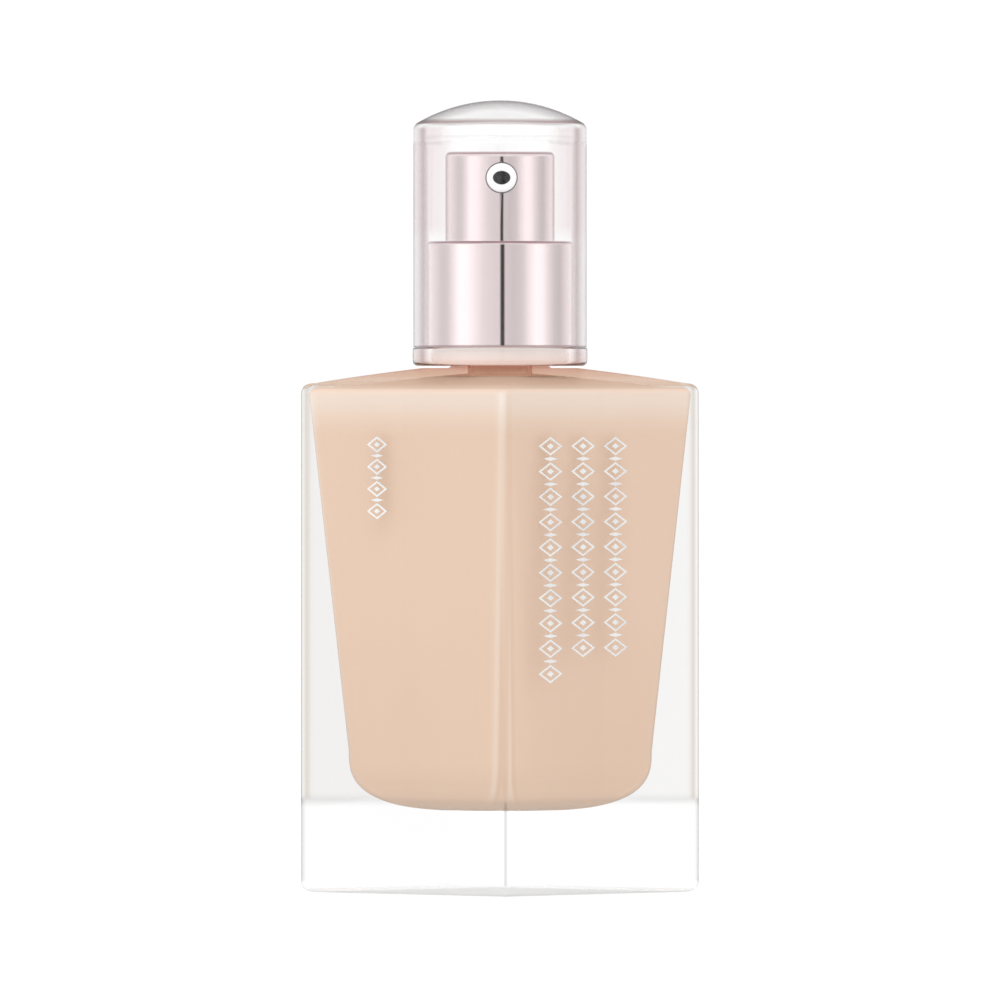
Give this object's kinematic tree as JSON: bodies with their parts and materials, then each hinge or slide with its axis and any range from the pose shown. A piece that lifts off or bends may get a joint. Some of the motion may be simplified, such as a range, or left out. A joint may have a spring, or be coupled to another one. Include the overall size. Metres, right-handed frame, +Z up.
{
  "type": "pump foundation bottle",
  "caption": "Square thick-based glass bottle with a low domed shoulder, a metal-clad treatment pump on a screw collar and a clear domed overcap.",
  "frame": {"origin": "centre of the bottle's flat base, on the surface it stands on", "axes": "+Z up along the neck and pump axis; the bottle's four flat faces look along +X, -X, +Y and -Y; at rest the nozzle points between +X and -Y"},
  "size_m": [0.038, 0.038, 0.1056],
  "materials": {
    "clear_glass": "clear polished moulded glass",
    "foundation_cream": "thick opaque cream, wet against the glass; stands in for a liquid",
    "tinted_clear_plastic": "clear moulded plastic with a faint pink tint",
    "pink_metal": "polished pale pink anodised metal",
    "natural_plastic": "natural milky polypropylene",
    "white_plastic": "white moulded plastic",
    "seal_plastic": "soft matt polyethylene seal",
    "bright_steel": "bright stainless wire and ball"
  },
  "bodies": {
    "bottle": {"glass_bottle": "clear_glass", "foundation_liquid": "foundation_cream"},
    "pump_body": {"pump_housing": "natural_plastic", "neck_gasket": "seal_plastic", "locking_ring": "white_plastic", "stem_wiper": "seal_plastic", "ball_cage": "white_plastic", "dip_tube": "natural_plastic", "return_spring": "bright_steel"},
    "inlet_valve": {"inlet_ball": "bright_steel"},
    "plunger": {"stem": "natural_plastic", "valve_plug": "white_plastic"},
    "piston_body": {"piston": "seal_plastic"},
    "head": {"actuator_shell": "pink_metal", "actuator_core": "white_plastic", "nozzle_insert": "white_plastic"},
    "collar": {"screw_closure": "white_plastic", "collar_sleeve": "pink_metal", "base_ring": "tinted_clear_plastic"},
    "cap": {"overcap": "tinted_clear_plastic"}
  },
  "joints": [
    {"name": "pump_rise", "type": "slide", "parent": "bottle", "child": "pump_body", "axis": [0, 0, 1], "range_m": [0, 0.00376]},
    {"name": "closure_unscrew", "type": "hinge", "parent": "pump_body", "child": "collar", "pos_m": [0, 0, 0.0755], "axis": [0, 0, 1], "range_deg": [0, 450]},
    {"name": "overcap_lift", "type": "slide", "parent": "collar", "child": "cap", "axis": [0, 0, 1], "range_m": [0, 0.035]},
    {"name": "actuator_press", "type": "slide", "parent": "pump_body", "child": "plunger", "axis": [0, 0, 1], "range_m": [-0.0045, 0], "stiffness_N_per_m": 700, "springref_m": 0.004, "deforming": ["return_spring"]},
    {"name": "head_turn", "type": "hinge", "parent": "plunger", "child": "head", "pos_m": [0, 0, 0.0925], "axis": [0, 0, 1], "continuous": true},
    {"name": "piston_shuttle", "type": "slide", "parent": "plunger", "child": "piston_body", "axis": [0, 0, 1], "range_m": [0, 0.0008]},
    {"name": "ball_lift", "type": "slide", "parent": "pump_body", "child": "inlet_valve", "axis": [0, 0, 1], "range_m": [0, 0.0012]}
  ],
  "couplings": [
    {"joint": "pump_rise", "follows": "closure_unscrew", "m_per_rad": 0.00047746}
  ]
}
